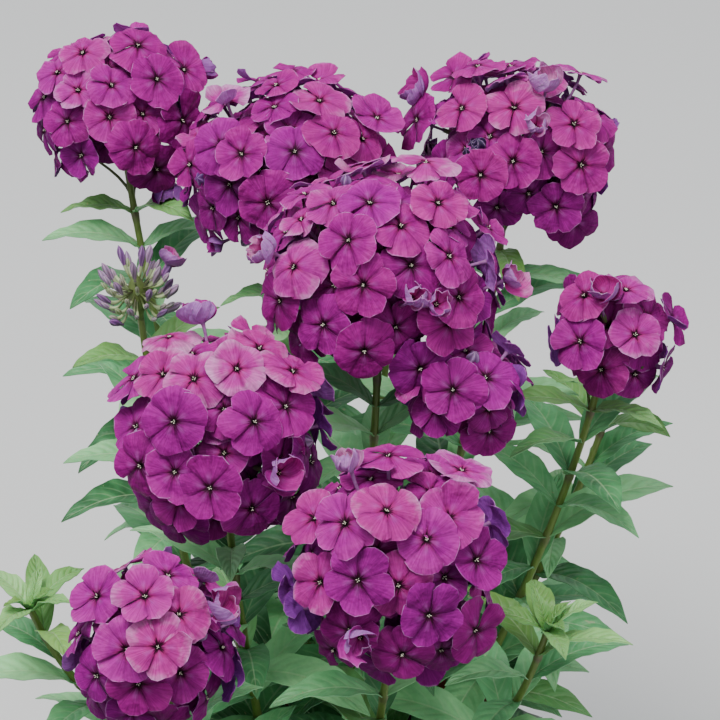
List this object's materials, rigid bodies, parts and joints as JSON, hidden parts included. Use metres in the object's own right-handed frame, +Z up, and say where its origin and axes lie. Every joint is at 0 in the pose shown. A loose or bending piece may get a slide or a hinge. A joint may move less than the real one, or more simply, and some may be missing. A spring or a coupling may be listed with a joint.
{
  "type": "potted phlox plant",
  "caption": "Potted garden phlox in flower: domed heads of five-petalled flowers on leafy upright stems, in a plain clay pot filled with soil.",
  "frame": {"origin": "middle of the pot's underside, on the surface that the pot stands on", "axes": "+Z up along the pot's axis, -Y to the side that the lowest heads lean to, the front, +X to the right seen from the front"},
  "size_m": [0.419, 0.4952, 0.6028],
  "materials": {
    "terracotta": "matte",
    "compost": "matte",
    "foliage": "satin",
    "petals": "satin",
    "green_buds": "satin"
  },
  "bodies": {
    "root": {"pot": "terracotta", "soil": "compost", "flower_head_01": "petals", "flower_head_02": "petals", "flower_head_03": "petals", "flower_head_04": "petals", "flower_head_05": "petals", "flower_head_06": "petals", "flower_head_07": "petals", "flower_head_08": "petals", "bud_head_09": "green_buds", "leafy_stem_01": "foliage", "leafy_stem_02": "foliage", "leafy_stem_03": "foliage", "leafy_stem_04": "foliage", "leafy_stem_05": "foliage", "leafy_stem_06": "foliage", "leafy_stem_07": "foliage", "leafy_stem_08": "foliage", "leafy_stem_09": "foliage", "leafy_shoot_01": "foliage", "leafy_shoot_02": "foliage", "leafy_shoot_03": "foliage", "leafy_shoot_04": "foliage"}
  },
  "joints": []
}
